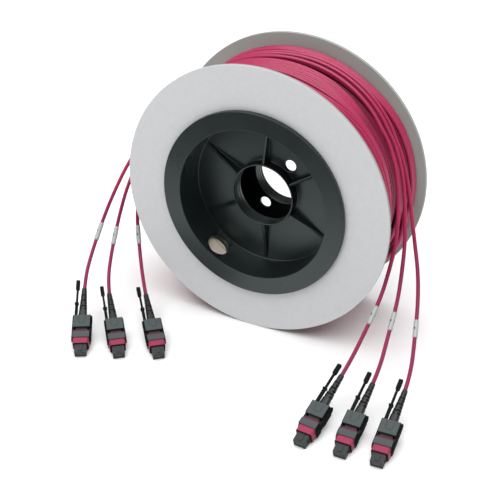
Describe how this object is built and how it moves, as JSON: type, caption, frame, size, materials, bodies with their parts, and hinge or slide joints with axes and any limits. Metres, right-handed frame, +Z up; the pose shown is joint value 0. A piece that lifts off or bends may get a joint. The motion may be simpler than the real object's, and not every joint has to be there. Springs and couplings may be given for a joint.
{
  "type": "fibre optic trunk cable",
  "caption": "Fibre optic trunk cable wound on a flanged spool with ribbed cup cores; free legs with marker sleeves end in push-pull multi-fibre plugs with pull tabs.",
  "frame": {"origin": "on the floor, below the middle of the spool", "axes": "+Z up, +Y along the spool's axis from the front board to the rear board, +X towards the right-hand plugs"},
  "size_m": [0.3021, 0.2087, 0.22],
  "materials": {
    "board": "white-faced board",
    "core_plastic": "moulded black",
    "card": "brown card",
    "cable_jacket": "soft satin jacket",
    "marker_sleeve": "white sleeve",
    "boot_plastic": "soft black",
    "housing_plastic": "dark grey moulded",
    "plug_plastic": "satin moulded",
    "clip_plastic": "dark grey moulded",
    "ferrule_plastic": "glass-filled polymer",
    "spring_steel": "plain wire"
  },
  "bodies": {
    "spool": {"front_board": "board", "rear_board": "board", "front_core": "core_plastic", "rear_core": "core_plastic", "card_tube": "card", "cable_winding": "cable_jacket", "left_1_leg": "cable_jacket", "left_1_marker": "marker_sleeve", "left_1_boot": "boot_plastic", "left_1_plug_housing": "housing_plastic", "left_1_ferrule_spring": "spring_steel", "left_1_back_post": "clip_plastic", "left_2_leg": "cable_jacket", "left_2_marker": "marker_sleeve", "left_2_boot": "boot_plastic", "left_2_plug_housing": "housing_plastic", "left_2_ferrule_spring": "spring_steel", "left_2_back_post": "clip_plastic", "left_3_leg": "cable_jacket", "left_3_marker": "marker_sleeve", "left_3_boot": "boot_plastic", "left_3_plug_housing": "housing_plastic", "left_3_ferrule_spring": "spring_steel", "left_3_back_post": "clip_plastic", "right_1_leg": "cable_jacket", "right_1_marker": "marker_sleeve", "right_1_boot": "boot_plastic", "right_1_plug_housing": "housing_plastic", "right_1_ferrule_spring": "spring_steel", "right_1_back_post": "clip_plastic", "right_2_leg": "cable_jacket", "right_2_marker": "marker_sleeve", "right_2_boot": "boot_plastic", "right_2_plug_housing": "housing_plastic", "right_2_ferrule_spring": "spring_steel", "right_2_back_post": "clip_plastic", "right_3_leg": "cable_jacket", "right_3_marker": "marker_sleeve", "right_3_boot": "boot_plastic", "right_3_plug_housing": "housing_plastic", "right_3_ferrule_spring": "spring_steel", "right_3_back_post": "clip_plastic"},
    "left_1_coupling": {"left_1_coupling_sleeve": "plug_plastic", "left_1_pull_clip": "clip_plastic"},
    "left_1_fibre_block": {"left_1_ferrule": "ferrule_plastic"},
    "left_2_coupling": {"left_2_coupling_sleeve": "plug_plastic", "left_2_pull_clip": "clip_plastic"},
    "left_2_fibre_block": {"left_2_ferrule": "ferrule_plastic"},
    "left_3_coupling": {"left_3_coupling_sleeve": "plug_plastic", "left_3_pull_clip": "clip_plastic"},
    "left_3_fibre_block": {"left_3_ferrule": "ferrule_plastic"},
    "right_1_coupling": {"right_1_coupling_sleeve": "plug_plastic", "right_1_pull_clip": "clip_plastic"},
    "right_1_fibre_block": {"right_1_ferrule": "ferrule_plastic"},
    "right_2_coupling": {"right_2_coupling_sleeve": "plug_plastic", "right_2_pull_clip": "clip_plastic"},
    "right_2_fibre_block": {"right_2_ferrule": "ferrule_plastic"},
    "right_3_coupling": {"right_3_coupling_sleeve": "plug_plastic", "right_3_pull_clip": "clip_plastic"},
    "right_3_fibre_block": {"right_3_ferrule": "ferrule_plastic"}
  },
  "joints": [
    {"name": "left_1_release", "type": "slide", "parent": "spool", "child": "left_1_coupling", "axis": [-0.467, 0.8188, 0.3338], "range_m": [0, 0.0025], "stiffness_N_per_m": 500},
    {"name": "left_1_ferrule_push", "type": "slide", "parent": "spool", "child": "left_1_fibre_block", "axis": [-0.467, 0.8188, 0.3338], "range_m": [0, 0.0012], "stiffness_N_per_m": 1000, "deforming": ["left_1_ferrule_spring"]},
    {"name": "left_2_release", "type": "slide", "parent": "spool", "child": "left_2_coupling", "axis": [-0.6075, 0.7449, 0.2756], "range_m": [0, 0.0025], "stiffness_N_per_m": 500},
    {"name": "left_2_ferrule_push", "type": "slide", "parent": "spool", "child": "left_2_fibre_block", "axis": [-0.6075, 0.7449, 0.2756], "range_m": [0, 0.0012], "stiffness_N_per_m": 1000, "deforming": ["left_2_ferrule_spring"]},
    {"name": "left_3_release", "type": "slide", "parent": "spool", "child": "left_3_coupling", "axis": [-0.6201, 0.7338, 0.2773], "range_m": [0, 0.0025], "stiffness_N_per_m": 500},
    {"name": "left_3_ferrule_push", "type": "slide", "parent": "spool", "child": "left_3_fibre_block", "axis": [-0.6201, 0.7338, 0.2773], "range_m": [0, 0.0012], "stiffness_N_per_m": 1000, "deforming": ["left_3_ferrule_spring"]},
    {"name": "right_1_release", "type": "slide", "parent": "spool", "child": "right_1_coupling", "axis": [0.0862, 0.9477, 0.3074], "range_m": [0, 0.0025], "stiffness_N_per_m": 500},
    {"name": "right_1_ferrule_push", "type": "slide", "parent": "spool", "child": "right_1_fibre_block", "axis": [0.0862, 0.9477, 0.3074], "range_m": [0, 0.0012], "stiffness_N_per_m": 1000, "deforming": ["right_1_ferrule_spring"]},
    {"name": "right_2_release", "type": "slide", "parent": "spool", "child": "right_2_coupling", "axis": [-0.005, 0.9573, 0.289], "range_m": [0, 0.0025], "stiffness_N_per_m": 500},
    {"name": "right_2_ferrule_push", "type": "slide", "parent": "spool", "child": "right_2_fibre_block", "axis": [-0.005, 0.9573, 0.289], "range_m": [0, 0.0012], "stiffness_N_per_m": 1000, "deforming": ["right_2_ferrule_spring"]},
    {"name": "right_3_release", "type": "slide", "parent": "spool", "child": "right_3_coupling", "axis": [-0.0434, 0.9558, 0.2907], "range_m": [0, 0.0025], "stiffness_N_per_m": 500},
    {"name": "right_3_ferrule_push", "type": "slide", "parent": "spool", "child": "right_3_fibre_block", "axis": [-0.0434, 0.9558, 0.2907], "range_m": [0, 0.0012], "stiffness_N_per_m": 1000, "deforming": ["right_3_ferrule_spring"]}
  ]
}
